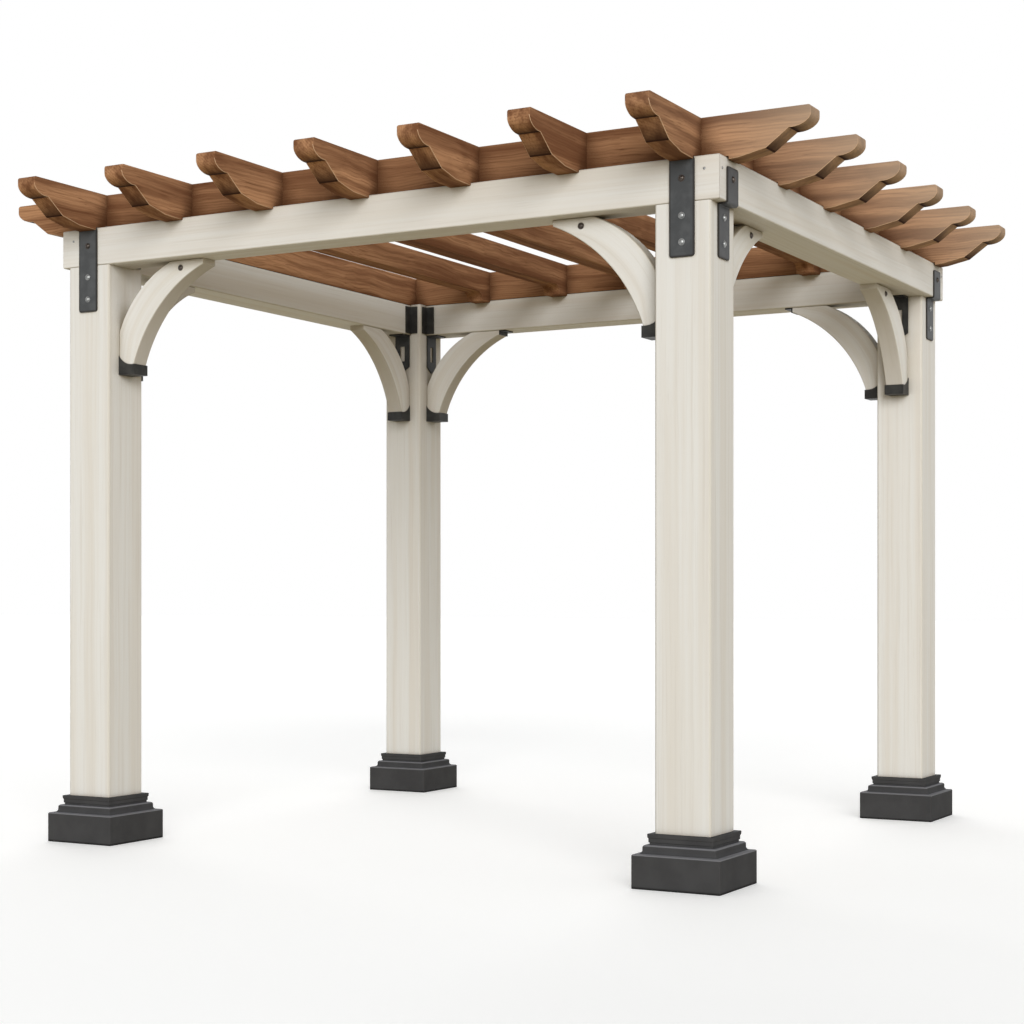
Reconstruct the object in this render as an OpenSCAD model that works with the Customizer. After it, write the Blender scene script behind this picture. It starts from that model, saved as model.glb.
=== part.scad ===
// Open timber pergola: four notched posts on moulded base trims, a mitred ring of beams, curved
// knee braces, and a roof of rafters lapped flush with two purlins, with lookouts at the sides.
// X runs along the front, Y to the back, Z up; the origin is the middle of the plan on the ground.

/* [Frame] */
// Distance between post centres, left to right
bay_w = 2400; // [2000:20:3200]
// Distance between post centres, front to back
bay_d = 2180; // [1800:20:3000]
// Side of a square post
post_side = 190; // [180:2:200]
// Height of a post, from the ground to the underside of the beams
post_h = 2136; // [1900:1:2500]
// Radius of a post's eased corners
post_ease = 8; // [4:1:14]

/* [Base trim] */
// Side of the square plinth
plinth_side = 300; // [280:1:320]
// Height of the plinth
plinth_h = 108; // [90:1:130]
// Chamfer on the plinth's top edge
plinth_ease = 5; // [3:1:8]
// Height of the middle band
band_h = 28; // [24:1:40]
// Height of the top collar
collar_h = 28; // [24:1:50]

/* [Beams] */
// Depth of a beam
beam_h = 140; // [120:1:160]
// How far a beam's inner face lies inside the post centres
beam_in = 40; // [38:1:50]
// How far the outer faces of the side beams stand proud of the posts
side_proud = 30; // [20:1:46]

/* [Roof timbers] */
// Thickness of a rafter, purlin or lookout
timber_w = 80; // [60:1:80]
// Depth of a rafter, purlin or lookout
timber_h = 140; // [132:1:160]
// Depth of the seat that is cut over a beam
seat_h = 10; // [8:1:30]
// Reach of a rafter's tip beyond the post centres
rafter_reach = 425; // [400:5:500]
// Reach of a purlin's or lookout's tip beyond the post centres
purlin_reach = 400; // [390:5:500]
// Depth of an inner rafter where its underside is relieved between the beams
relief_depth = 100; // [92:1:120]
// Length of the full-depth land that is left beside a beam
relief_land = 70; // [50:5:120]

/* [Tail cut] */
// Height of the upright face at a tip
tip_h = 36; // [28:1:46]
// Radius of the rounded nose under the tip
nose_r = 28; // [18:1:30]
// Radius of the tip's eased top edge
tip_ease = 10; // [5:1:15]
// Distance from the tip to the cusp behind the nose
cusp_run = 72; // [65:1:84]
// Radius of the belly behind the cusp
belly_r = 220; // [200:1:235]
// Depth of the belly's lowest point
belly_drop = 137; // [130:1:138]

/* [Knee braces] */
// Thickness of a brace
brace_w = 72; // [60:1:74]
// Drop of the brace's foot below the beam
brace_run = 400; // [370:5:430]
// Reach of the brace's tip from the post's face
brace_reach = 390; // [360:5:420]
// Distance from the corner of post and beam to where the back edge meets them
brace_back = 242; // [220:1:260]
// Radius of the brace's back edge
brace_back_r = 430; // [380:5:520]
// Radius of the brace's hollow edge
brace_hollow_r = 560; // [520:5:640]
// Width of the brace's foot
brace_foot = 58; // [50:1:66]
// Height of the blunt tip
brace_nib = 21; // [15:1:30]

/* [Steel fittings] */
// Thickness of the steel plate
plate_t = 6; // [4:0.5:7]
// Width of a strap
strap_w = 85; // [70:1:90]
// Length of a strap's leg on the post
strap_leg = 170; // [150:1:190]
// How far the top of a side strap lies below the top of its beam
strap_cut = 30; // [10:1:50]
// Height of a brace shoe at its lip
shoe_h = 38; // [30:1:48]
// Height of a brace shoe at the post
shoe_rise = 72; // [60:1:90]
// Radius of the hollow top edge of a brace shoe
shoe_r = 70; // [50:1:100]
// Thickness of a brace shoe's plate
shoe_t = 3; // [2:0.5:5]
// Width of an angle bracket
angle_w = 76; // [60:1:78]
// Height of an angle bracket's leg on the post
angle_leg = 175; // [150:1:190]
// Length of an angle bracket's leg under the beam
angle_arm = 60; // [40:1:120]
// Height of the point at the foot of an angle bracket
angle_point = 26; // [10:1:34]
// Width of the slot in an angle bracket
slot_w = 26; // [18:1:32]
// Length of the slot in an angle bracket
slot_h = 70; // [50:1:80]
// Length of the leg of a cleat on a beam's inner face
cleat_leg = 42; // [34:1:60]
// Length of the leg of a cleat on the post's upstand
cleat_lip = 40; // [10:1:44]
// Length of the end angle's leg under the back beam, at the tip of a brace
end_leg = 34; // [20:1:60]

/* [Hidden] */
$fn = 64;
rafter_count = 7;
lookout_count = 4;
fit = 0.3;
half_w = bay_w / 2;
half_d = bay_d / 2;
post_half = post_side / 2;
front_out = post_half;
side_out = post_half + side_proud;
beam_top = post_h + beam_h;
roof_top = beam_top + timber_h - seat_h;
lap_h = timber_h / 2;
rafter_step = bay_w / (rafter_count - 1);
lookout_step = bay_d / (lookout_count + 1);
band_side = plinth_side - 52;
collar_side = plinth_side - 74;
groove_side = collar_side - 12;
groove_h = 6;
band_cove = 12;
base_h = plinth_h + band_h + groove_h + collar_h;
strap_gap = plate_t + 1;
hollow = circle_centre([brace_foot, -brace_run], [brace_reach, -brace_nib], brace_hollow_r);
back = circle_centre([0, -brace_back], [brace_back, 0], brace_back_r);
big = 1000;
cream = "#E3DED2";
brown = "#8A5A3C";
charcoal = "#47484A";
black = "#2E3032";

// Centre of the circle through a and b, on the right hand of the way from a to b.
function circle_centre(a, b, r) =
  let (way = b - a, half = norm(way) / 2)
    (a + b) / 2 + sqrt(pow(r, 2) - pow(half, 2)) / (2 * half) * [way[1], -way[0]];

// Places its children at a corner post: side is -1 for left, face is -1 for front.
// The children are drawn for the front left post, with +X and +Y pointing into the bay.
module at_corner(side, face) {
  translate([side * half_w, face * half_d, 0])
    mirror([side > 0 ? 1 : 0, 0, 0])
      mirror([0, face > 0 ? 1 : 0, 0])
        children();
}

// Draws its children, which lie along X, and the like piece that lies along Y.
module both_ways() {
  children();
  mirror([1, -1, 0])
    children();
}

// Square with rounded corners, centred.
module eased_square(side, ease) {
  square([side, side - 2 * ease], center = true);
  square([side - 2 * ease, side], center = true);
  for (x = [-1, 1], y = [-1, 1])
    translate([x * (side / 2 - ease), y * (side / 2 - ease)])
      circle(ease);
}

// Timber post, with its foot on the ground inside the base trim. Its head is notched for the beams,
// which leaves an upstand at the inner corner.
module post() {
  color(cream)
    difference() {
      linear_extrude(beam_top)
        eased_square(post_side, post_ease);
      translate([0, 0, post_h])
        linear_extrude(beam_h + 1)
          difference() {
            square(post_side + 2, center = true);
            translate([beam_in, beam_in])
              square(post_side);
          }
    }
}

// Outline of the base trim, seen from the side: a chamfered plinth, a coved and rounded band,
// a groove and a collar with a lip.
module base_outline() {
  band_top = plinth_h + band_h;
  band_r = (band_h - band_cove) / 2;
  lip = 3;
  for (x = [0, 1])
    mirror([x, 0]) {
      polygon([[0, 0], [plinth_side / 2, 0], [plinth_side / 2, plinth_h - plinth_ease],
        [plinth_side / 2 - plinth_ease, plinth_h], [0, plinth_h]]);
      difference() {
        square([band_side / 2 + band_cove, plinth_h + band_cove]);
        translate([band_side / 2 + band_cove, plinth_h + band_cove])
          circle(band_cove);
      }
      square([band_side / 2, band_top - band_r]);
      square([band_side / 2 - band_r, band_top]);
      translate([band_side / 2 - band_r, band_top - band_r])
        circle(band_r);
      square([groove_side / 2, base_h]);
      polygon([[0, base_h - collar_h], [collar_side / 2 - lip, base_h - collar_h],
        [collar_side / 2 - lip, base_h - 4 * lip], [collar_side / 2, base_h - 2 * lip],
        [collar_side / 2, base_h], [0, base_h]]);
    }
}

// Moulded trim around the foot of a post, mitred at its corners.
module base() {
  color(charcoal)
    difference() {
      intersection_for (turn = [0, 90])
        rotate([90, 0, turn])
          linear_extrude(plinth_side, center = true)
            base_outline();
      translate([0, 0, -1])
        linear_extrude(base_h + 2)
          eased_square(post_side, post_ease);
    }
}

// Beam with mitred ends, lying along X with its outer face towards -Y. Its own outer face lies
// out beyond the post centres, and the beams that it meets reach end_out beyond them.
module beam(half_bay, out, end_out) {
  outer = half_bay + end_out;
  inner = half_bay - beam_in;
  color(cream)
    translate([0, 0, post_h])
      linear_extrude(beam_h)
        polygon([[-outer, -out], [outer, -out], [inner, beam_in], [-inner, beam_in]]);
}

// The front beam, flush with the posts, and the left beam, which stands proud of them; half a turn
// makes the back and right ones.
module front_beam() {
  translate([0, -half_d, 0])
    beam(half_w, front_out, side_out);
}

module left_beam() {
  translate([-half_w, 0, 0])
    rotate(-90)
      beam(half_d, side_out, front_out);
}

// What is cut from a timber's end: X runs in from the tip, Y is zero at the top edge.
module tail_cut(heel_run) {
  nose_drop = tip_h + nose_r;
  belly_y = belly_r - belly_drop;
  belly_x = cusp_run + sqrt(pow(belly_r, 2) - pow(belly_y + nose_drop, 2));
  difference() {
    translate([-1, -tip_ease])
      square([tip_ease + 1, tip_ease + 1]);
    translate([tip_ease, -tip_ease])
      circle(tip_ease);
  }
  difference() {
    translate([-1, -nose_drop])
      square([nose_r + 1, nose_r]);
    translate([nose_r, -tip_h])
      circle(nose_r);
  }
  difference() {
    translate([-1, -timber_h - 1])
      square([belly_x + 1, timber_h + 1 - nose_drop]);
    translate([belly_x, belly_y])
      circle(belly_r, $fn = 180);
  }
  polygon([[belly_x - 1, -belly_drop], [belly_x, -belly_drop], [heel_run, -timber_h],
    [heel_run, -timber_h - 1], [belly_x - 1, -timber_h - 1]]);
}

// Side view of a roof timber, centred on the bay, with a tail at each end and its top at zero.
// An edge timber lies along a beam, so its seat runs from end to end and clears the straps.
module timber_side(half_bay, out, reach, edge) {
  tip = half_bay + reach;
  seat_out = half_bay + out + (edge ? strap_gap : fit);
  seat_in = edge ? -1 : half_bay - beam_in - fit;
  difference() {
    translate([-tip, -timber_h])
      square([2 * tip, timber_h]);
    for (end = [0, 1])
      mirror([end, 0]) {
        translate([-tip, 0])
          tail_cut(tip - seat_out);
        translate([seat_in, -timber_h - 1])
          square([seat_out - seat_in, seat_h + 1]);
      }
  }
}

// What is cut from an inner rafter's underside between the beams, with coved ends.
module relief() {
  cove = timber_h - relief_depth;
  run = half_d - beam_in - relief_land - cove;
  translate([-run, -timber_h - 1])
    square([2 * run, cove + 1]);
  for (x = [-1, 1])
    translate([x * run, -timber_h])
      circle(cove);
}

// Rafter i of 1 to rafter_count, halved from above where the two purlins cross.
module rafter(i) {
  edge = i == 1 || i == rafter_count;
  color(brown)
    translate([-half_w + (i - 1) * rafter_step - timber_w / 2, 0, roof_top])
      rotate([90, 0, 90])
        linear_extrude(timber_w)
          difference() {
            timber_side(half_d, front_out, rafter_reach, edge);
            for (y = [-half_d, half_d])
              translate([y - timber_w / 2 - fit, -lap_h])
                square([timber_w + 2 * fit, lap_h + 1]);
            if (!edge)
              relief();
          }
}

// Purlin along the front or back beam, halved from below where the rafters cross.
module purlin(face) {
  color(brown)
    translate([0, face * half_d + timber_w / 2, roof_top])
      rotate([90, 0, 0])
        linear_extrude(timber_w)
          difference() {
            timber_side(half_w, side_out, purlin_reach, true);
            for (i = [0 : rafter_count - 1])
              translate([-half_w + i * rafter_step - timber_w / 2 - fit, -timber_h - 1])
                square([timber_w + 2 * fit, timber_h - lap_h + 1]);
          }
}

// Lookouts on one side: short timbers seated over the side beam and butted to the edge rafter.
module lookouts(side) {
  color(brown)
    for (j = [1 : lookout_count])
      translate([0, -half_d + j * lookout_step + timber_w / 2, roof_top])
        mirror([side < 0 ? 1 : 0, 0, 0])
          rotate([90, 0, 0])
            linear_extrude(timber_w)
              intersection() {
                timber_side(half_w, side_out, purlin_reach, false);
                translate([half_w + timber_w / 2, -big])
                  square([big, 2 * big]);
              }
}

// Curved brace between a post's inner face and a beam's underside, drawn at the front left post.
module brace() {
  color(cream)
    translate([post_half, brace_w / 2, post_h])
      rotate([90, 0, 0])
        linear_extrude(brace_w)
          intersection() {
            translate([0, -brace_run])
              square([brace_reach, brace_run]);
            difference() {
              translate(back)
                circle(brace_back_r, $fn = 180);
              translate(hollow)
                circle(brace_hollow_r, $fn = 180);
            }
          }
}

// Steel strap on the outer face along X: flat, or joggled in from a proud beam's face to the post's.
module strap(proud, top) {
  translate([-strap_w / 2, -post_half, post_h])
    rotate([90, 0, 90])
      linear_extrude(strap_w) {
        translate([-proud - plate_t, -plate_t])
          square([plate_t, top + plate_t]);
        translate([-proud - plate_t, -plate_t])
          square([proud + plate_t, plate_t]);
        translate([-plate_t, -strap_leg])
          square([plate_t, strap_leg]);
      }
}

// The two straps that tie the beams down to a post.
module straps() {
  color(black) {
    strap(0, beam_h - fit);
    mirror([1, -1, 0])
      strap(side_proud, beam_h - strap_cut);
  }
}

// Steel shoe on a post's inner face, which a brace stands in: its cheeks rise towards the post.
module shoe() {
  lip = shoe_t + brace_run - shoe_h;
  foot = hollow[0] - sqrt(pow(brace_hollow_r, 2) - pow(lip + hollow[1], 2)) + fit;
  wide = brace_w + 2 * fit + 2 * shoe_t;
  translate([post_half, 0, post_h - brace_run - shoe_t])
    difference() {
      rotate([90, 0, 0])
        linear_extrude(wide, center = true)
          difference() {
            square([foot + shoe_t, shoe_rise]);
            translate(circle_centre([foot + shoe_t, shoe_h], [0, shoe_rise], shoe_r))
              circle(shoe_r, $fn = 96);
          }
      translate([-1, shoe_t - wide / 2, shoe_t])
        cube([foot + 1, wide - 2 * shoe_t, shoe_rise]);
    }
}

// The two shoes on a post.
module shoes() {
  color(black)
    both_ways()
      shoe();
}

// Angle bracket in the corner of a post's inner face and a beam's underside: its leg on the post
// is slotted and ends in a point.
module angle_bracket() {
  shoulder = angle_point - angle_leg;
  translate([post_half, 0, post_h]) {
    rotate([90, 0, 90])
      linear_extrude(plate_t)
        difference() {
          polygon([[-angle_w / 2, 0], [-angle_w / 2, shoulder], [0, -angle_leg],
            [angle_w / 2, shoulder], [angle_w / 2, 0]]);
          translate([-slot_w / 2, -angle_leg / 2 - slot_h / 2])
            square([slot_w, slot_h]);
        }
    translate([0, -angle_w / 2, -plate_t])
      cube([angle_arm, angle_w, plate_t]);
  }
}

// Upright cleat in the corner between a beam's inner face and the post's upstand, drawn along X.
module cleat() {
  translate([post_half, beam_in, post_h + plate_t])
    linear_extrude(beam_h - seat_h - plate_t) {
      square([cleat_leg, plate_t]);
      square([plate_t, cleat_lip]);
    }
}

// End angle that holds a brace's blunt tip up against a beam's underside.
module end_angle() {
  translate([post_half + brace_reach, brace_w / 2, post_h])
    rotate([90, 0, 0])
      linear_extrude(brace_w) {
        translate([0, -brace_nib])
          square([plate_t, brace_nib]);
        translate([0, -plate_t])
          square([end_leg, plate_t]);
      }
}

// The two cleats at a post and, at a back post, the slotted brackets under the beams and the
// end angle under the back beam.
module brackets(at_back) {
  color(black) {
    both_ways() {
      cleat();
      if (at_back)
        angle_bracket();
    }
    if (at_back)
      end_angle();
  }
}

at_corner(-1, -1) post();  // front_left_post
at_corner(1, -1) post();  // front_right_post
at_corner(-1, 1) post();  // back_left_post
at_corner(1, 1) post();  // back_right_post
at_corner(-1, -1) base();  // front_left_base
at_corner(1, -1) base();  // front_right_base
at_corner(-1, 1) base();  // back_left_base
at_corner(1, 1) base();  // back_right_base
front_beam();
rotate(180) front_beam();  // back_beam
left_beam();
rotate(180) left_beam();  // right_beam
at_corner(-1, -1) brace();  // front_beam_left_brace
at_corner(1, -1) brace();  // front_beam_right_brace
at_corner(-1, 1) brace();  // back_beam_left_brace
at_corner(1, 1) brace();  // back_beam_right_brace
at_corner(-1, -1) mirror([1, -1, 0]) brace();  // left_beam_front_brace
at_corner(-1, 1) mirror([1, -1, 0]) brace();  // left_beam_back_brace
at_corner(1, -1) mirror([1, -1, 0]) brace();  // right_beam_front_brace
at_corner(1, 1) mirror([1, -1, 0]) brace();  // right_beam_back_brace
rafter(1);  // rafter_1
rafter(2);  // rafter_2
rafter(3);  // rafter_3
rafter(4);  // rafter_4
rafter(5);  // rafter_5
rafter(6);  // rafter_6
rafter(7);  // rafter_7
purlin(-1);  // front_purlin
purlin(1);  // back_purlin
lookouts(-1);  // left_lookouts
lookouts(1);  // right_lookouts
at_corner(-1, -1) straps();  // front_left_straps
at_corner(1, -1) straps();  // front_right_straps
at_corner(-1, 1) straps();  // back_left_straps
at_corner(1, 1) straps();  // back_right_straps
at_corner(-1, -1) shoes();  // front_left_shoes
at_corner(1, -1) shoes();  // front_right_shoes
at_corner(-1, 1) shoes();  // back_left_shoes
at_corner(1, 1) shoes();  // back_right_shoes
at_corner(-1, -1) brackets(false);  // front_left_brackets
at_corner(1, -1) brackets(false);  // front_right_brackets
at_corner(-1, 1) brackets(true);  // back_left_brackets
at_corner(1, 1) brackets(true);  // back_right_brackets
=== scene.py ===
"""The looks of an open timber pergola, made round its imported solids. Units are metres."""
import itertools
import math

import bpy
import numpy as np
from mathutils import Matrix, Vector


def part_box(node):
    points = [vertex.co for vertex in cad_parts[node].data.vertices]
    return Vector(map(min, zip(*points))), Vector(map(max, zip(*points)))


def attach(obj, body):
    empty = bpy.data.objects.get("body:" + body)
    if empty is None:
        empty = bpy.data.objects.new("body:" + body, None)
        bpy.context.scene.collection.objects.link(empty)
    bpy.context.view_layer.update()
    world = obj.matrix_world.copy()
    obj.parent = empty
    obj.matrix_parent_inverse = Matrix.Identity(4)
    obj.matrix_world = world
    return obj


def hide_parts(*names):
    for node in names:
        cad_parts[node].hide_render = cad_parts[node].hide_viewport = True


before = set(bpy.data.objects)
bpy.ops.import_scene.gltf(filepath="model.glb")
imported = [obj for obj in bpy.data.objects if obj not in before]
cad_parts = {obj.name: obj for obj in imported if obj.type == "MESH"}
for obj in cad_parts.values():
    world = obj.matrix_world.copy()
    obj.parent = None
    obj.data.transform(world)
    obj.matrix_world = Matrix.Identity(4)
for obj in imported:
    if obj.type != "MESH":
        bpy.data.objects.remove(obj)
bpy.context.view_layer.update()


# Posts: four square sawn softwood posts, planed, with eased corners and a thin white wash that lets
# the grain show. Each stands inside its base trim, and its head is notched to carry the beams, which
# leaves an upstand at the inner corner.
MM = 0.001
right_foot, right_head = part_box("front_right_post")
_, back_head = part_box("back_right_post")
post_half = (right_head.x - right_foot.x) / 2
half_w = right_head.x - post_half
half_d = back_head.y - post_half
post_ease = 8 * MM
beam_low, beam_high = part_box("front_beam")
post_top, beam_top = beam_low.z, beam_high.z
beam_in = beam_high.y + half_d
corners = {"front_left": (-1, -1), "front_right": (1, -1), "back_left": (-1, 1), "back_right": (1, 1)}
boards = itertools.count()
board_step = (4.7, 0.37, 0.53)


def linear(colour):
    """Linear colour with alpha from an sRGB hex text: c / 12.92 up to 0.04045, and above that
    ((c + 0.055) / 1.055) ** 2.4."""
    c = np.array([int(colour[i:i + 2], 16) for i in (1, 3, 5)]) / 255
    return (*np.where(c <= 0.04045, c / 12.92, ((c + 0.055) / 1.055) ** 2.4).tolist(), 1.0)


def add_node(tree, kind, inputs, **settings):
    """Adds one node: settings are its properties, and inputs are values or output sockets by name or
    number."""
    made = tree.nodes.new(kind)
    for name, value in settings.items():
        setattr(made, name, value)
    for name, value in inputs.items():
        if isinstance(value, bpy.types.NodeSocket):
            tree.links.new(value, made.inputs[name])
        else:
            made.inputs[name].default_value = value
    return made


def new_finish(name):
    """A material with no nodes yet, and its node tree."""
    finish = bpy.data.materials.new(name)
    finish.use_nodes = True
    tree = finish.node_tree
    tree.nodes.clear()
    return finish, tree


def mark_of(tree, name, socket="Fac"):
    """The attribute of that name, which the mesh carries at its points, and 0 where it has none."""
    return add_node(tree, "ShaderNodeAttribute", {}, attribute_name=name).outputs[socket]


def swayed(tree, grain, scale, detail, sway):
    """The grain's coordinates, moved across the board by sway times a noise that wanders round 0."""
    wander = add_node(tree, "ShaderNodeTexNoise", {"Vector": grain, "Scale": scale, "Detail": detail})
    drift = add_node(tree, "ShaderNodeVectorMath", {
        0: wander.outputs["Color"], 1: (0.5, 0.5, 0.5)}, operation="SUBTRACT")
    moved = add_node(tree, "ShaderNodeVectorMath", {
        0: drift.outputs["Vector"], 1: (0, sway, sway), 2: grain}, operation="MULTIPLY_ADD")
    return moved.outputs["Vector"]


def streaks(tree, place, width, length, detail, seed):
    """Noise drawn out along the board: place is divided by length along the grain (X) and by width
    across it, and moved by seed, so that no two noises agree."""
    spot = add_node(tree, "ShaderNodeMapping", {
        "Vector": place, "Location": (seed, 2.3 * seed, 5.1 * seed),
        "Scale": (1 / length, 1 / width, 1 / width)})
    made = add_node(tree, "ShaderNodeTexNoise", {
        "Vector": spot.outputs["Vector"], "Scale": 1.0, "Detail": detail, "Roughness": 0.6})
    return made.outputs["Fac"]


def tint(tree, factor, low, high, under, colour):
    """Lays a colour over the one under it: its share is factor, eased from low..high to 0..1."""
    share = add_node(tree, "ShaderNodeMapRange", {
        "Value": factor, "From Min": low, "From Max": high}, interpolation_type="SMOOTHSTEP")
    mixed = add_node(tree, "ShaderNodeMix", {
        0: share.outputs["Result"], 6: under, 7: colour}, data_type="RGBA")
    return mixed.outputs[2]


def inner_corners(tree, reach):
    """1 in the open, and less towards an inner corner, from as far off as reach."""
    return add_node(tree, "ShaderNodeAmbientOcclusion", {"Distance": reach}, samples=6).outputs["AO"]


def between(tree, factor, low, high):
    """A number that runs from low to high as factor runs from 0 to 1."""
    made = add_node(tree, "ShaderNodeMapRange", {"Value": factor, "To Min": low, "To Max": high})
    return made.outputs["Result"]


def raised(tree, height, strength, depth, **over):
    """Normal of a surface raised by height times depth, over another Normal if one is given."""
    made = add_node(tree, "ShaderNodeBump", {
        "Height": height, "Strength": strength, "Distance": depth, **over})
    return made.outputs["Normal"]


def add_surface(tree, inputs):
    """Adds the shader with those inputs, joined to the output."""
    shader = add_node(tree, "ShaderNodeBsdfPrincipled", inputs)
    add_node(tree, "ShaderNodeOutputMaterial", {"Surface": shader.outputs["BSDF"]})


def whitewashed_pine():
    """Planed pine under a thinned white wash: pale and matt, with soft lengthwise streaks where the
    wash lies thin, warm and grey casts from board to board, arrises where it has rubbed thin, painted
    shade on the sawn hollow edges of the braces, painted shade in inner corners, and a fine raised
    fibre."""
    finish, tree = new_finish("whitewashed pine")
    grain = swayed(tree, mark_of(tree, "grain", "Vector"), 1.6, 2.0, 14 * MM)
    broad = streaks(tree, grain, 45 * MM, 2600 * MM, 2.0, 1.0)
    bands = streaks(tree, grain, 11 * MM, 900 * MM, 4.0, 7.0)
    fibre = streaks(tree, grain, 2.4 * MM, 160 * MM, 5.0, 13.0)
    colour = tint(tree, broad, 0.36, 0.70, linear("#E2E1DD"), linear("#DCD8D0"))
    colour = tint(tree, bands, 0.46, 0.90, colour, linear("#D2CDC4"))
    colour = tint(tree, fibre, 0.56, 0.92, colour, linear("#C7C1B6"))
    colour = tint(tree, mark_of(tree, "arris"), 0.0, 1.3, colour, linear("#CCC7BC"))
    # Painted shade: the sawn hollow edges of the braces, which face down, darker.
    colour = tint(tree, mark_of(tree, "sawn"), 0.0, 1.6, colour, linear("#B3ACA1"))
    # Painted shade: darker in inner corners, where shade falls.
    colour = tint(tree, inner_corners(tree, 130 * MM), 0.25, 0.9, linear("#A09684"), colour)
    add_surface(tree, {
        "Base Color": colour, "Roughness": between(tree, bands, 0.52, 0.7),
        "Normal": raised(tree, fibre, 0.5, 0.5 * MM), "IOR": 1.5, "Specular IOR Level": 0.15})
    return finish


def skin(name, rings, loop=False, crease=40, **marks):
    """Mesh over a grid: rings[c, i, j] is point j round ring i of copy c, and quads join neighbours
    both ways. Point j wraps round; the first and last rings are each closed by a flat face, or joined
    to each other if loop. Edges that turn by more than crease degrees stay sharp. marks are attributes
    with one number or vector for each point. A grid that came out left-handed is turned."""
    rings = np.asarray(rings, float)
    rings = rings[None] if rings.ndim == 3 else rings
    copies, count, around = rings.shape[:3]
    index = np.arange(copies * count * around).reshape(copies, count, around)
    lower, upper = (index, np.roll(index, -1, 1)) if loop else (index[:, :-1], index[:, 1:])
    quads = np.stack([lower, np.roll(lower, -1, 2), np.roll(upper, -1, 2), upper], -1).reshape(-1, 4)
    caps = [] if loop else index[:, 0, ::-1].tolist() + index[:, -1].tolist()
    mesh = bpy.data.meshes.new(name)
    mesh.from_pydata(rings.reshape(-1, 3), [], quads.tolist() + caps)
    spread = (rings - rings.mean((1, 2), keepdims=True)).reshape(-1, 3)[quads]
    if np.einsum("ij,ij->", spread[:, 0], np.cross(spread[:, 1], spread[:, 3])) < 0:
        mesh.flip_normals()
    for mark, values in marks.items():
        vector = np.shape(values)[-1] == 3
        layer = mesh.attributes.new(mark, "FLOAT_VECTOR" if vector else "FLOAT", "POINT")
        layer.data.foreach_set("vector" if vector else "value", np.asarray(values, np.float32).ravel())
    mesh.polygons.foreach_set("use_smooth", np.ones(len(mesh.polygons), bool))
    mesh.set_sharp_from_angle(angle=math.radians(crease))
    piece = bpy.data.objects.new(name, mesh)
    bpy.context.scene.collection.objects.link(piece)
    even = piece.modifiers.new("even shading on flats", "WEIGHTED_NORMAL")
    even.keep_sharp = True
    return piece


def eased_ring(half_a, half_b, ease, steps=3):
    """Rounded rectangle round a loop: each corner is a quarter circle, a = sign (half_a - ease) + ease
    cos(angle), and b likewise with sin. Also a mark that is 1 half way round each corner and 0 on the
    flats."""
    turn = np.linspace(0, np.pi / 2, steps + 1)
    angle = (turn + np.arange(4)[:, None] * np.pi / 2).ravel()
    sign_a = np.repeat([1, -1, -1, 1], steps + 1)
    sign_b = np.repeat([1, 1, -1, -1], steps + 1)
    a = sign_a * (half_a - ease) + ease * np.cos(angle)
    b = sign_b * (half_b - ease) + ease * np.sin(angle)
    return a, b, np.tile(np.sin(2 * turn), 4)


def board_grain(along, across, up):
    """Coordinates in the board, grain along X, moved by a different amount for every board so that
    none repeat."""
    number = next(boards)
    shape = np.broadcast_shapes(np.shape(along), np.shape(across), np.shape(up))
    counts = (number, number % 7, number % 5)
    parts = [part + step * count for part, step, count in zip((along, across, up), board_step, counts)]
    return np.stack([np.broadcast_to(part, shape) for part in parts], -1)


def fit_piece(piece, finish, slot, *stands_for):
    """Gives a piece its finish, fixes it to the one body, and puts it in place of the solids it stands
    for."""
    piece.data.materials.append(finish)
    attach(piece, "root")
    if stands_for:
        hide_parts(*stands_for)


pine = whitewashed_pine()
for corner, (side, face) in corners.items():
    shaft = eased_ring(post_half, post_half, post_ease)
    stub = eased_ring((post_half - beam_in) / 2, (post_half - beam_in) / 2, post_ease)
    inset = np.array([0, (post_half + beam_in) / 2])[:, None, None]
    across = np.stack([shaft[0], stub[0]])[:, None] - side * inset
    deep = np.stack([shaft[1], stub[1]])[:, None] - face * inset
    height = np.array([np.linspace(0, post_top, 3), np.linspace(post_top, beam_top, 3)])[..., None]
    rings = np.stack(np.broadcast_arrays(side * half_w + across, face * half_d + deep, height), -1)
    post = skin(f"{corner}_post_timber", rings, grain=board_grain(height, across, deep),
                arris=np.broadcast_to(shaft[2], rings.shape[:3]))
    fit_piece(post, pine, "cream_timber", f"{corner}_post")


# Base trims: a moulded charcoal cover round the foot of each post, with a tall plinth, a rounded
# band, a groove and a collar. It is moulded in one piece with crisp mitred corners, and the post
# stands in it.
trim_low, trim_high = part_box("front_left_base")
trim_half = (trim_high.x - trim_low.x) / 2
trim_h = trim_high.z
plinth_h = 108 * MM
plinth_ease = 5 * MM
foot_ease = 1.5 * MM
band_half = trim_half - 26 * MM
collar_half = trim_half - 37 * MM
groove_half = collar_half - 6 * MM
collar_foot = trim_h - 28 * MM
band_head = collar_foot - 6 * MM
cove_r = 12 * MM
band_r = (band_head - plinth_h - cove_r) / 2
lip = 3 * MM
mitre_ease = 2 * MM
ledge_drop = 1.5 * MM
ledge_reach = 2.2 * MM
ledge_in = groove_half + 2 * MM


def noise(tree, place, size, detail):
    """Even noise with blots of about that size."""
    made = add_node(tree, "ShaderNodeTexNoise", {"Vector": place, "Scale": 1 / size, "Detail": detail})
    return made.outputs["Fac"]


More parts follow.
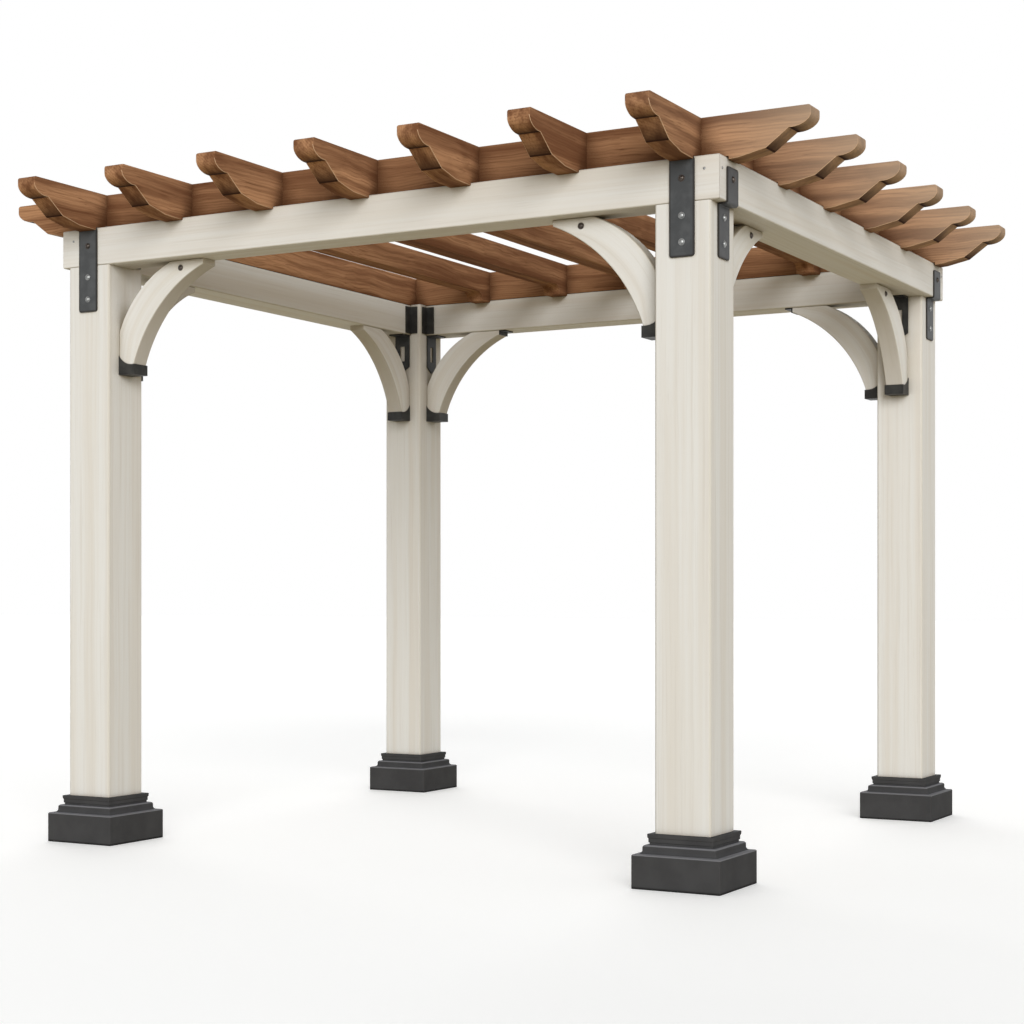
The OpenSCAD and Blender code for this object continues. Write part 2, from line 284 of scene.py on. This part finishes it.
def charcoal_trim():
    """Moulded plastic, charcoal right through, with a fine spark-eroded texture: matt and even, clouded
    a little by handling, with a painted highlight on the ledges, and painted shade as a dark line at
    the foot, where the trim meets the floor."""
    finish, tree = new_finish("charcoal moulded trim")
    place = add_node(tree, "ShaderNodeTexCoord", {}).outputs["Object"]
    cloud = noise(tree, place, 90 * MM, 5.0)
    grit = noise(tree, place, 1.6 * MM, 2.0)
    above_floor = add_node(tree, "ShaderNodeSeparateXYZ", {"Vector": place}).outputs["Z"]
    colour = tint(tree, cloud, 0.35, 0.7, linear("#424243"), linear("#484849"))
    colour = tint(tree, grit, 0.5, 0.9, colour, linear("#505051"))
    # Painted highlight: paler on the up-facing ledges.
    colour = tint(tree, mark_of(tree, "rubbed"), 0.2, 1.0, colour, linear("#77777A"))
    # Painted shade: a dark line at the foot, where the trim meets the floor.
    colour = tint(tree, above_floor, 1 * MM, 11 * MM, linear("#202020"), colour)
    add_surface(tree, {
        "Base Color": colour, "Roughness": between(tree, cloud, 0.55, 0.7),
        "Normal": raised(tree, grit, 0.25, 0.2 * MM), "IOR": 1.49, "Specular IOR Level": 0.01})
    return finish


def arc(centre_a, centre_b, radius, start, end, count):
    """Points on a circle from one angle to another, in degrees."""
    angle = np.radians(np.linspace(start, end, count))
    return np.stack([centre_a + radius * np.cos(angle), centre_b + radius * np.sin(angle)], -1)


moulding = np.concatenate([
    [(post_half, 0.0), (trim_half - foot_ease, 0.0), (trim_half, foot_ease),
     (trim_half, plinth_h - plinth_ease)],
    arc(trim_half - plinth_ease, plinth_h - plinth_ease, plinth_ease, 25, 75, 3),
    arc(band_half + cove_r, plinth_h + cove_r, cove_r, 270, 180, 7),
    arc(band_half - band_r, band_head - band_r, band_r, 0, 90, 6),
    [(groove_half, band_head), (groove_half, collar_foot), (collar_half - 2 * lip, collar_foot)],
    arc(collar_half - 2 * lip, collar_foot + lip, lip, 285, 360, 3),
    arc(collar_half, trim_h - 5 * lip, lip, 180, 105, 4),
    arc(collar_half - lip / 2, trim_h - lip / 2, lip / 2, 0, 90, 3),
    [(post_half, trim_h)],
])
ledges = np.array([plinth_h - ledge_drop, band_head - ledge_drop])
# Points on the ledges that take the painted highlight.
rubbed = (np.abs(moulding[:, 1:] - ledges).min(1) < ledge_reach) & (moulding[:, 0] > ledge_in)
charcoal = charcoal_trim()
for corner, (side, face) in corners.items():
    across, deep, _ = eased_ring(moulding[:, :1], moulding[:, :1], mitre_ease, 2)
    rings = np.stack(np.broadcast_arrays(
        side * half_w + across, face * half_d + deep, moulding[:, 1:]), -1)
    trim = skin(f"{corner}_base_trim", rings, loop=True,
                rubbed=np.broadcast_to(rubbed[:, None], across.shape))
    fit_piece(trim, charcoal, "base_trim", f"{corner}_base")


# Beams: a ring of four whitewashed timbers laid in the notches of the posts, planed with eased edges
# and mitred where they meet. The front and back ones lie flush with the posts' outer faces, and the
# two side ones stand proud of them.
front_out = -half_d - beam_low.y
side_out = -half_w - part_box("left_beam")[0].x
beam_half_h = (beam_top - post_top) / 2
beam_mid = (post_top + beam_top) / 2
beam_ease = 6 * MM
mitre_gap = 0.5 * MM


def beam_rings(half_bay, out, end_out):
    """Eased rectangle carried along a beam, X along it and Y in from the post centres. A mitred end
    runs straight from the outer corner, end_out past the post centre, to the inner corner, less the
    hairline of the joint."""
    across, up, arris = eased_ring((out + beam_in) / 2, beam_half_h, beam_ease)
    inward = across + (beam_in - out) / 2
    end = half_bay + end_out - (inward + out) / (out + beam_in) * (end_out + beam_in) - mitre_gap
    along = np.linspace(-1, 1, 9)[:, None] * end
    return along, *(np.broadcast_to(part, along.shape) for part in (inward, up, arris))


for name, along_x, sign in (("front_beam", True, 1), ("back_beam", True, -1),
                            ("left_beam", False, 1), ("right_beam", False, -1)):
    if along_x:
        along, inward, up, arris = beam_rings(half_w, front_out, side_out)
        level = [along, sign * (inward - half_d)]
    else:
        along, inward, up, arris = beam_rings(half_d, side_out, front_out)
        level = [sign * (inward - half_w), along]
    beam = skin(f"{name}_timber", np.stack([*level, beam_mid + up], -1),
                grain=board_grain(along, inward, up), arris=arris)
    fit_piece(beam, pine, "cream_timber", name)


# Knee braces: eight curved braces, band-sawn from wide whitewashed boards, slim at the foot, which
# stands in a shoe on the post, and broad at the head, which bears on the beam's underside.
brace_low, brace_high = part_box("front_beam_left_brace")
brace_half = (brace_high.y - brace_low.y) / 2
brace_run = post_top - brace_low.z
brace_reach = brace_high.x - brace_low.x
brace_foot = 58 * MM
brace_nib = 21 * MM
brace_hollow_r = 560 * MM
brace_back = 242 * MM
brace_back_r = 430 * MM
brace_ease = 4 * MM
hollow_points = 81
bend_points = 61
brace_steps = 49


def arc_between(a, b, radius, count):
    """Points on the circle of that radius from a to b, bulging to the left of the way from a to b."""
    a, b = np.array(a), np.array(b)
    half = np.linalg.norm(b - a) / 2
    right = np.array([b[1] - a[1], a[0] - b[0]]) / (2 * half)
    centre = (a + b) / 2 + math.sqrt(radius ** 2 - half ** 2) * right
    span = math.asin(half / radius)
    angle = math.atan2(-right[1], -right[0]) + np.linspace(span, -span, count)
    return centre + radius * np.stack([np.cos(angle), np.sin(angle)], -1)


def evenly(line, count):
    """The same line with that many points, spaced evenly along its length."""
    run = np.concatenate([[0], np.cumsum(np.linalg.norm(np.diff(line, axis=0), axis=1))])
    even = np.linspace(0, run[-1], count)
    return np.stack([np.interp(even, run, line[:, 0]), np.interp(even, run, line[:, 1])], -1), even


def at_corner(side, face, turned, points):
    """Points drawn at a post with X and Y pointing into the bay, moved to that post; turned swaps X and
    Y first."""
    placed = points[..., [1, 0, 2]] if turned else points
    return placed * (-side, -face, 1) + (side * half_w, face * half_d, 0)


def brace_rings():
    """Eased rectangle carried along a brace, between two edges with points spaced evenly on each: the
    hollow edge, a circle from foot to tip, and the back, up the post's face, round a circle and along
    under the beam. The sawn mark, for painted shade, is full on the hollow edge."""
    foot, tip = (brace_foot, -brace_run), (brace_reach, -brace_nib)
    hollow = arc_between(foot, tip, brace_hollow_r, hollow_points)
    bend = arc_between((0, -brace_back), (brace_back, 0), brace_back_r, bend_points)
    low, along = evenly(hollow, brace_steps)
    high, _ = evenly(np.concatenate([[(0, -brace_run)], bend, [(brace_reach, 0)]]), brace_steps)
    span = np.linalg.norm(high - low, axis=-1)[:, None]
    across, thick, arris = eased_ring(span / 2, brace_half, brace_ease)
    thick, arris = (np.broadcast_to(part, across.shape) for part in (thick, arris))
    line = (low + high)[:, None] / 2 + across[..., None] * ((high - low) / span)[:, None]
    points = np.stack([post_half + line[..., 0], thick, post_top + line[..., 1]], -1)
    # Painted shade, full on the hollow edge.
    sawn = np.clip((brace_ease - across - span / 2) / brace_ease, 0, 1)
    return points, along[:, None], across, thick, arris, sawn


brace_points, brace_along, brace_across, brace_thick, brace_arris, brace_sawn = brace_rings()
for corner, (side, face) in corners.items():
    row, end = corner.split("_")
    for turned, node in ((False, f"{row}_beam_{end}_brace"), (True, f"{end}_beam_{row}_brace")):
        brace = skin(f"{node}_timber", at_corner(side, face, turned, brace_points), arris=brace_arris,
                     sawn=brace_sawn, grain=board_grain(brace_along, brace_across, brace_thick))
        fit_piece(brace, pine, "cream_timber", node)


# Roof timbers: planed cedar under a brown stain. Rafters are halved over the front and back purlins,
# lookouts butt against the edge rafters, and all sit on the beams. Every tail is sawn to a nose, a
# cusp and two cuts along a belly. Inner rafters are relieved underneath between the beams.
rafter_low, rafter_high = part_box("rafter_2")
timber_half = (rafter_high.x - rafter_low.x) / 2
roof_top = rafter_high.z
timber_h = rafter_high.z - rafter_low.z
seat_h = beam_top - rafter_low.z
rafter_tip = rafter_high.y
purlin_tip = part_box("front_purlin")[1].x
rafter_count = sum(name.startswith("rafter_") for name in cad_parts)
lookout_count = 4
lap_h = timber_h / 2
tip_h = 24 * MM
nose_drop = 64 * MM
tip_ease = 10 * MM
cusp_run = 72 * MM
belly_r = 220 * MM
belly_drop = timber_h - 3 * MM
relief_depth = 100 * MM
relief_land = 70 * MM
strap_gap = 7 * MM
fit = 0.3 * MM
hair = 0.02 * MM
timber_ease = 2.5 * MM
timber_crease = 20
faint_arris = 0.3
saw_line = 3.5 * MM
# These pairs of points of a tail's line, counted from the tip, have the two saw lines between them.
saw_line_ends = [8, 9, 13, 14]
# Painted shade beside each saw line: how far it fades towards the tip and how dark it starts.
pool_run = 48 * MM
pool_share = 0.8
# Shares of painted shade on the inner rafters and the purlins between the posts.
rafter_soak = 0.3
purlin_soak = 0.42


def stained_cedar():
    """Planed cedar under a brown oil stain: matt to satin, with growth rings that show as lines along
    the board and as arcs on its ends, warm and dark casts from board to board, fine pores, painted
    shade on the purlins and inner rafters between the posts, painted shade at the saw lines, fading
    from them, painted shade in inner corners, arrises paler where partly worn thin and partly a
    painted highlight, and painted light as a paler cast towards the right-hand side, where the key
    light falls. The rings are drawn 9 mm apart, coarser than real, to show."""
    finish, tree = new_finish("stained cedar")
    grain = swayed(tree, mark_of(tree, "grain", "Vector"), 1.9, 3.0, 60 * MM)
    cast = streaks(tree, grain, 60 * MM, 1500 * MM, 3.0, 3.0)
    fibre = streaks(tree, grain, 5 * MM, 420 * MM, 4.0, 11.0)
    pores = streaks(tree, grain, 1.8 * MM, 60 * MM, 3.0, 17.0)
    wave_unit, ring_gap = 2 * math.pi / 20, 9 * MM
    rings = add_node(tree, "ShaderNodeTexWave", {
        "Vector": grain, "Scale": wave_unit / ring_gap, "Distortion": 4.0, "Detail": 3.0,
        "Detail Scale": 0.25}, wave_type="RINGS", rings_direction="X").outputs["Fac"]
    place = add_node(tree, "ShaderNodeTexCoord", {}).outputs["Object"]
    right = add_node(tree, "ShaderNodeSeparateXYZ", {"Vector": place}).outputs["X"]
    worn = add_node(tree, "ShaderNodeMath", {
        0: mark_of(tree, "arris"), 1: fibre}, operation="MULTIPLY").outputs["Value"]
    colour = tint(tree, cast, 0.35, 0.65, linear("#B98B66"), linear("#795239"))
    colour = tint(tree, rings, 0.3, 2.6, colour, linear("#5C3B26"))
    colour = tint(tree, fibre, 0.46, 0.86, colour, linear("#5E3C27"))
    colour = tint(tree, pores, 0.56, 0.95, colour, linear("#523421"))
    # Painted shade: darker on the inner rafters and the purlins between the posts.
    colour = tint(tree, mark_of(tree, "soaked"), 0.0, 1.0, colour, linear("#5E3C27"))
    # Painted light: a paler cast towards the right-hand side, where the key light falls.
    colour = tint(tree, right, half_w - 100 * MM, half_w + 900 * MM, colour, linear("#C2B09A"))
    # Paler arrises: partly wear, partly a painted highlight.
    colour = tint(tree, worn, 0.05, 0.4, colour, linear("#D6B594"))
    # Painted shade at the saw lines, fading from them towards the tip.
    colour = tint(tree, mark_of(tree, "sawn"), 0.0, 1.0, colour, linear("#38241A"))
    # Painted shade: darker in inner corners, where shade falls.
    colour = tint(tree, inner_corners(tree, 80 * MM), 0.35, 0.95, linear("#523420"), colour)
    pitted = raised(tree, pores, 0.4, 0.5 * MM)
    add_surface(tree, {
        "Base Color": colour, "Roughness": between(tree, fibre, 0.6, 0.8),
        "Normal": raised(tree, rings, 0.2, 0.5 * MM, Normal=pitted), "IOR": 1.5,
        "Specular IOR Level": 0.02})
    return finish


def tail_line(heel):
    """Bottom of a tail, as run in from the tip and depth below the top: a quarter ellipse nose that
    starts upright at the foot of the tip's face and ends level at the cusp, two saw cuts that follow a
    circular belly, and a straight run to the heel. Close pairs of points stand where a saw line shows."""
    belly_mid = belly_drop - belly_r
    start = math.degrees(math.asin((nose_drop - belly_mid) / belly_r))
    belly_x = cusp_run + belly_r * math.cos(math.radians(start))
    cusp, knee, keel = arc(belly_x, belly_mid, belly_r, 180 - start, 90, 3)
    first = (knee - cusp) / np.linalg.norm(knee - cusp)
    second = (keel - knee) / np.linalg.norm(keel - knee)
    nose = arc(1, 0, 1, 180, 90, 9) * (cusp_run - 2 * saw_line, nose_drop - tip_h) + (0, tip_h)
    return np.concatenate([nose, [
        cusp - (saw_line, 0), cusp, cusp + first * saw_line,
        knee - first * 2 * saw_line, knee - first * saw_line, knee, knee + second * saw_line,
        keel, (heel, timber_h)]])


def crest_line():
    """Top of a tail, as run in and depth: a quarter circle that eases the tip's upper edge."""
    return arc(tip_ease, tip_ease, tip_ease, 180, 270, 6)


def both_ends(line, tip):
    """A line drawn in from a tip, laid in place at both ends of a timber that is centred on the bay."""
    return np.concatenate([line - (tip, 0), (line * (-1, 1) + (tip, 0))[::-1]])


def seated(tip, half_bay, out, edge, relieved=False):
    """Bottom of a timber's half from the tip in: the tail, the step up at the heel, and the seat over
    the beam. An edge timber's seat runs right through; another drops to its full depth past the beam,
    and a relieved one then rises by a quarter circle cove to its depth at mid-span. Steps are a hair
    wide, so that the line never doubles back."""
    heel = tip - half_bay - out - (strap_gap if edge else fit)
    line = [tail_line(heel), [(heel + hair, timber_h - seat_h)]]
    if not edge:
        inner = tip - half_bay + beam_in + fit
        line.append([(inner, timber_h - seat_h), (inner + hair, timber_h)])
    if relieved:
        cove = timber_h - relief_depth
        line.append(arc(inner - fit + relief_land + cove, timber_h, cove, 180, 270, 9))
    return np.concatenate(line)


def columns(bottom, top, crossings=(), notch_above=False):
    """Places along a timber where its outline turns, and the depths of its top and bottom there. Where
    another timber crosses, it is notched to half depth, from above or from below."""
    crossings = np.asarray(crossings, float)
    sides = (crossings[:, None] + np.array([-1, 1]) * (timber_half + fit)).ravel()
    place = np.unique(np.concatenate([bottom[:, 0], top[:, 0], sides - hair, sides + hair]))
    above, below = np.interp(place, *top.T), np.interp(place, *bottom.T)
    crossed = (np.abs(place[:, None] - crossings) < timber_half + fit).any(1)
    if notch_above:
        return place, np.where(crossed, lap_h, above), below
    return place, above, np.where(crossed, lap_h, below)


def timber_rings(outline, tip, tail):
    """Eased rectangle carried along a timber, as tall as its outline at each place and drawn in a
    little at the tips. The arris mark is full on the lower edges of the tails, where the saw cut shows,
    none on the end faces and faint elsewhere; in the cedar it makes a pale edge, partly wear and partly
    a painted highlight. The sawn mark, for painted shade, is full across the underside at the
    saw lines, by the cusp and at the belly's middle, and fades from each towards the tip."""
    place, above, below = outline
    inset = np.clip(timber_ease - (tip - np.abs(place)), 0, timber_ease)
    half = timber_half - timber_ease + np.sqrt(timber_ease ** 2 - inset ** 2)
    across, up, arris = eased_ring(half[:, None], (below - above)[:, None] / 2, timber_ease, 2)
    height = roof_top - (above + below)[:, None] / 2 + up
    shaped = (np.abs(place)[:, None] > tip - tail) & (up < 0)
    underside = up < (above - below)[:, None] / 2 + hair
    lines = tail_line(tail)[saw_line_ends, 0] + hair
    short = lines - (tip - np.abs(place)[:, None])
    at_line = np.abs(short) < saw_line / 2 + hair
    # Painted shade that fades from each saw line towards the tip.
    pooled = np.where(short > 0, pool_share * np.clip(1 - short / pool_run, 0, 1), 0)
    sawn = np.maximum(at_line, pooled).max(1)[:, None] * underside
    arris = arris * np.where(shaped, 1, faint_arris) * (np.abs(place)[:, None] < tip - hair)
    return place[:, None] + 0 * across, across, height, arris, sawn


cedar = stained_cedar()
rafter_x = np.linspace(-half_w, half_w, rafter_count)
lookout_y = np.linspace(-half_d, half_d, lookout_count + 2)[1:-1]
rafter_tail = rafter_tip - half_d - front_out
purlin_tail = purlin_tip - half_w - side_out
for number, x in enumerate(rafter_x, 1):
    edge = number in (1, rafter_count)
    outline = columns(both_ends(seated(rafter_tip, half_d, front_out, edge, not edge), rafter_tip),
                      both_ends(crest_line(), rafter_tip), (-half_d, half_d), True)
    along, across, height, arris, sawn = timber_rings(outline, rafter_tip, rafter_tail)
    rafter = skin(f"rafter_{number}_timber", np.stack([x + across, along, height], -1),
                  crease=timber_crease, arris=arris, sawn=sawn,
                  soaked=(0 if edge else rafter_soak) * (np.abs(along) < half_d),
                  grain=board_grain(along, across, height - roof_top))
    fit_piece(rafter, cedar, "brown_timber", f"rafter_{number}")
for row, y in (("front", -half_d), ("back", half_d)):
    outline = columns(both_ends(seated(purlin_tip, half_w, side_out, True), purlin_tip),
                      both_ends(crest_line(), purlin_tip), rafter_x)
    along, across, height, arris, sawn = timber_rings(outline, purlin_tip, purlin_tail)
    purlin = skin(f"{row}_purlin_timber", np.stack([along, y + across, height], -1),
                  crease=timber_crease, arris=arris, sawn=sawn,
                  soaked=purlin_soak * (np.abs(along) < half_w),
                  grain=board_grain(along, across, height - roof_top))
    fit_piece(purlin, cedar, "brown_timber", f"{row}_purlin")
butt = purlin_tip - half_w - timber_half
bottom = seated(purlin_tip, half_w, side_out, False)
bottom = np.concatenate([bottom[bottom[:, 0] < butt], [(butt, timber_h - seat_h)]])
crest = np.concatenate([crest_line(), [(butt, 0)]])
outline = columns(*((line * (-1, 1) + (purlin_tip, 0))[::-1] for line in (bottom, crest)))
along, across, height, arris, sawn = timber_rings(outline, purlin_tip, purlin_tail)
for flank, sign in (("left", -1), ("right", 1)):
    for number, y in enumerate(lookout_y, 1):
        lookout = skin(f"{flank}_lookout_{number}_timber",
                       np.stack([sign * along, y + across, height], -1), crease=timber_crease,
                       arris=arris, sawn=sawn, grain=board_grain(along, across, height - roof_top))
        fit_piece(lookout, cedar, "brown_timber", f"{flank}_lookouts")


# Straps: sheared steel plate with rounded corners, powder-coated near-black, two at each post and
# bolted through. Those on the front and back are flat, and those on the sides are bent to step from
# the proud beam's face in to the post's face.
strap_low, strap_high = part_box("front_left_straps")
plate_t = 6 * MM
strap_half = strap_high.x + half_w
strap_leg = post_top - strap_low.z
strap_top = strap_high.z - post_top
strap_cut = 30 * MM
strap_bend = 6 * MM
strap_corner = 9 * MM
plate_ease = 1.2 * MM
bend_steps = 6
end_steps = 7


def coated_steel(name, coat, handled):
    """Mild steel under a near-black powder coat: satin with a fine orange peel, slightly paler where
    handled, and with painted shade along the sheared rim of a strap. The rim mark counts from 0
    to 1 towards it."""
    finish, tree = new_finish(name)
    place = add_node(tree, "ShaderNodeTexCoord", {}).outputs["Object"]
    cloud = noise(tree, place, 45 * MM, 6.0)
    peel = noise(tree, place, 2.2 * MM, 2.0)
    rim = add_node(tree, "ShaderNodeVectorMath", {
        0: mark_of(tree, "rim", "Vector")}, operation="ABSOLUTE").outputs["Vector"]
    colour = tint(tree, cloud, 0.38, 0.7, linear(coat), linear(handled))
    for part in add_node(tree, "ShaderNodeSeparateXYZ", {"Vector": rim}).outputs[:2]:
        # Painted shade: darker towards the sheared rim of a strap.
        colour = tint(tree, part, 0.80, 1.0, colour, linear("#2A2826"))
    add_surface(tree, {
        "Base Color": colour, "Roughness": between(tree, cloud, 0.38, 0.55),
        "Normal": raised(tree, peel, 0.3, 0.25 * MM), "IOR": 1.5, "Specular IOR Level": 0.2})
    return finish


def strap_rings(proud, top):
    """Eased flat bar carried down the strap's centre line: down the beam's face and the post's face,
    with a bend in under a proud beam and a bend down again. Its width is drawn in at both ends by the
    arc of a rounded corner. The rim mark, for painted shade at the edges, is the way to the edge
    across the strap, and likewise down it."""
    out, inside, low = proud + plate_t / 2, plate_t / 2, -plate_t / 2
    bends = []
    if proud > strap_bend:
        bends = [arc(out - strap_bend, low + strap_bend, strap_bend, 0, -90, bend_steps),
                 arc(inside + strap_bend, low - strap_bend, strap_bend, 90, 180, bend_steps)]
    closing = np.linspace(0, 1, end_steps) ** 2 * strap_corner
    opening = np.linspace(1, 0, end_steps) ** 2 * strap_corner
    line = np.concatenate([
        np.stack([np.full(end_steps, out), top - closing], -1), *bends,
        np.stack([np.full(end_steps, inside), -strap_leg + opening], -1)])
    step = np.gradient(line, axis=0)
    step /= np.linalg.norm(step, axis=1, keepdims=True)
    facing = np.stack([-step[:, 1], step[:, 0]], -1)
    from_end = np.minimum(top - line[:, 1], line[:, 1] + strap_leg)
    cut = np.clip(strap_corner - from_end, 0, strap_corner)
    half = strap_half - strap_corner + np.sqrt(strap_corner ** 2 - cut ** 2)
    wide, thick, _ = eased_ring(half[:, None], plate_t / 2, plate_ease, 2)
    thick = np.broadcast_to(thick, wide.shape)
    spot = line[:, None] + thick[..., None] * facing[:, None]
    points = np.stack([wide, -post_half - spot[..., 0], post_top + spot[..., 1]], -1)
    down = 1 - np.broadcast_to(from_end[:, None], wide.shape) / strap_half
    return points, np.stack([wide / strap_half, np.maximum(down, 0), 0 * wide], -1)


steel = coated_steel("powder-coated steel", "#454749", "#515355")
for corner, (side, face) in corners.items():
    for name, turned, out, top in (("long_strap", False, front_out, strap_top),
                                   ("side_strap", True, side_out, beam_top - post_top - strap_cut)):
        points, rim = strap_rings(out - post_half, top)
        strap = skin(f"{corner}_{name}", at_corner(side, face, turned, points), rim=rim)
        fit_piece(strap, steel, "black_steel", f"{corner}_straps")


# Shoes and brackets: folded steel shoes that the braces stand in, cleats between the beams and the
# posts' upstands and, at the back only, slotted brackets under the beams and end angles under the back
# beam at the tips of its braces. The solids are used as they are, in a blacker coat than the straps'.
black_steel = coated_steel("black-coated steel", "#2B2B2A", "#3A3A38")
for corner in corners:
    for kind in ("shoes", "brackets"):
        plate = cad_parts[f"{corner}_{kind}"]
        plate.data.materials.clear()
        plate.data.materials.append(black_steel)


# Bolts: dome-headed bolts on washers, bright zinc on the lower strap holes and blackened at the top,
# a dark bolt near the tip of each brace, and small screws at the beams' mitres and on the roof's laps.
washer_r = 11 * MM
washer_h = 2 * MM
washer_ease = 0.6 * MM
dome_r = 8.5 * MM
dome_h = 5 * MM
post_bolts = (-42 * MM, -124 * MM)
beam_bolts = (74 * MM,)
brace_bolt_run = 288 * MM
brace_bolt_drop = 28 * MM
mitre_screw_run = 74 * MM
mitre_screw_rise = 28 * MM
mitre_screw_size = 0.4
lap_screw_nudge = 17 * MM
lap_screw_size = 0.55


def zinc_plate(name, pale, dark):
    """Zinc plated steel, dulled outdoors: a grey metal with a mottled bloom that makes it rougher in
    patches."""
    finish, tree = new_finish(name)
    place = add_node(tree, "ShaderNodeTexCoord", {}).outputs["Object"]
    bloom = noise(tree, place, 9 * MM, 5.0)
    add_surface(tree, {
        "Base Color": tint(tree, bloom, 0.35, 0.7, linear(pale), linear(dark)),
        "Roughness": between(tree, bloom, 0.25, 0.5), "Metallic": 1.0})
    return finish


def bolt_rings(centres, axes, size=1.0):
    """Profile of washer and dome turned about each bolt's axis: the washer's rim, its flat, then a
    quarter ellipse that stops just short of the middle."""
    rise = np.radians(np.linspace(0, 88, 7))
    profile = np.concatenate([
        [(washer_r, 0), (washer_r, washer_h - washer_ease), (washer_r - washer_ease, washer_h)],
        np.stack([dome_r * np.cos(rise), washer_h + dome_h * np.sin(rise)], -1)]) * size
    angle = np.linspace(0, 2 * np.pi, 24, endpoint=False)
    first = np.cross(np.roll(axes, 1, -1), axes)
    second = np.cross(axes, first)
    ring = np.cos(angle)[:, None] * first[:, None] + np.sin(angle)[:, None] * second[:, None]
    return (centres[:, None, None] + profile[:, 1, None, None] * axes[:, None, None]
            + profile[:, 0, None, None] * ring[:, None])


zinc = zinc_plate("dulled zinc", "#9C9D9B", "#7A7B7A")
black_bolt = zinc_plate("blackened bolt", "#5A524C", "#3C3733")
bolt_rows = {"bright": (zinc, post_bolts, (post_half + plate_t,) * 2),
             "black": (black_bolt, beam_bolts, (front_out + plate_t, side_out + plate_t))}
brace_bolt = np.array([post_half + brace_bolt_run, -brace_half, post_top - brace_bolt_drop])
for corner, (side, face) in corners.items():
    outward = np.array([(0, face, 0), (side, 0, 0)], float)
    for name, (finish, heights, outs) in bolt_rows.items():
        spots = np.array([at_corner(side, face, turned, np.array([0, -out, post_top + height]))
                          for turned, out in enumerate(outs) for height in heights])
        bolts = skin(f"{corner}_{name}_strap_bolts",
                     bolt_rings(spots, np.repeat(outward, len(heights), 0)))
        fit_piece(bolts, finish, "black_steel")
    spots = np.array([at_corner(side, face, turned, brace_bolt) for turned in (False, True)])
    bolts = skin(f"{corner}_brace_bolts", bolt_rings(spots, outward))
    fit_piece(bolts, black_bolt, "black_steel")
    screw_height = beam_mid + mitre_screw_rise
    spots = np.array([at_corner(side, face, turned, np.array([-mitre_screw_run, -out, screw_height]))
                      for turned, out in enumerate((front_out, side_out))])
    screws = skin(f"{corner}_mitre_screws", bolt_rings(spots, outward, mitre_screw_size))
    fit_piece(screws, zinc, "black_steel")
for row, y in (("front", -half_d), ("back", half_d)):
    spots = np.array([(x + nudge, y + nudge, roof_top) for x in rafter_x
                      for nudge in (-lap_screw_nudge, lap_screw_nudge)])
    upward = np.tile([0, 0, 1.0], (len(spots), 1))
    screws = skin(f"{row}_lap_screws", bolt_rings(spots, upward, lap_screw_size))
    fit_piece(screws, black_bolt, "black_steel")


# Stage: a plain pale floor, a white surround, a soft key light low from the front right, a fill from
# behind, and a level camera at waist height, shifted up as a view camera is to keep the posts upright.
floor_half = 60.0
floor_lift = 0.27
air_strength = 0.43
floor_corners = [(-1, -1), (1, -1), (1, 1), (-1, 1)]
floor_mesh = bpy.data.meshes.new("pale_floor")
floor_mesh.from_pydata([(x * floor_half, y * floor_half, 0) for x, y in floor_corners], [],
                       [(0, 1, 2, 3)])
floor = bpy.data.objects.new("pale_floor", floor_mesh)
bpy.context.scene.collection.objects.link(floor)


def seen_directly(tree):
    """1 for rays from the camera, or by way of a gloss or a clear thing, and 0 for rays that carry
    light."""
    path = add_node(tree, "ShaderNodeLightPath", {}).outputs
    sharp = add_node(tree, "ShaderNodeMath", {
        0: path["Is Glossy Ray"], 1: path["Is Transmission Ray"]}, operation="MAXIMUM")
    return add_node(tree, "ShaderNodeMath", {
        0: path["Is Camera Ray"], 1: sharp.outputs["Value"]}, operation="MAXIMUM").outputs["Value"]


paper, tree = new_finish("white paper sweep")
direct = seen_directly(tree)
lift = add_node(tree, "ShaderNodeMath", {0: direct, 1: floor_lift}, operation="MULTIPLY")
shade = add_node(tree, "ShaderNodeMix", {
    0: direct, 6: linear("#A99A74"), 7: linear("#F0F0EE")}, data_type="RGBA")
add_surface(tree, {
    "Base Color": shade.outputs[2], "Roughness": 0.9, "Emission Color": (1, 1, 1, 1),
    "Emission Strength": lift.outputs["Value"]})
floor_mesh.materials.append(paper)

world = bpy.data.worlds.new("white surround")
world.use_nodes = True
tree = world.node_tree
tree.nodes.clear()
air = add_node(tree, "ShaderNodeBackground", {"Color": linear("#F7F8FA"), "Strength": air_strength})
white = add_node(tree, "ShaderNodeBackground", {"Color": (1, 1, 1, 1), "Strength": 1.0})
both = add_node(tree, "ShaderNodeMixShader", {
    0: seen_directly(tree), 1: air.outputs["Background"], 2: white.outputs["Background"]})
add_node(tree, "ShaderNodeOutputWorld", {"Surface": both.outputs["Shader"]})
bpy.context.scene.world = world

for name, energy, angle, tilt, turn in (("soft_key", 2.78, 40, 77, 35), ("soft_fill", 1.6, 60, 72, 215)):
    glow = bpy.data.lights.new(name, "SUN")
    glow.energy, glow.angle = energy, math.radians(angle)
    lamp = bpy.data.objects.new(name, glow)
    lamp.rotation_euler = (math.radians(tilt), 0, math.radians(turn))
    bpy.context.scene.collection.objects.link(lamp)

view = bpy.data.cameras.new("photo_camera")
view.lens = 67.7
view.sensor_width = 36
view.shift_y = 0.0812
camera = bpy.data.objects.new("photo_camera", view)
camera.location = (3.638, -6.671, 0.916)
camera.rotation_euler = (math.pi / 2, 0, 0.5064)
bpy.context.scene.collection.objects.link(camera)
bpy.context.scene.camera = camera
bpy.context.scene.view_settings.view_transform = "Standard"
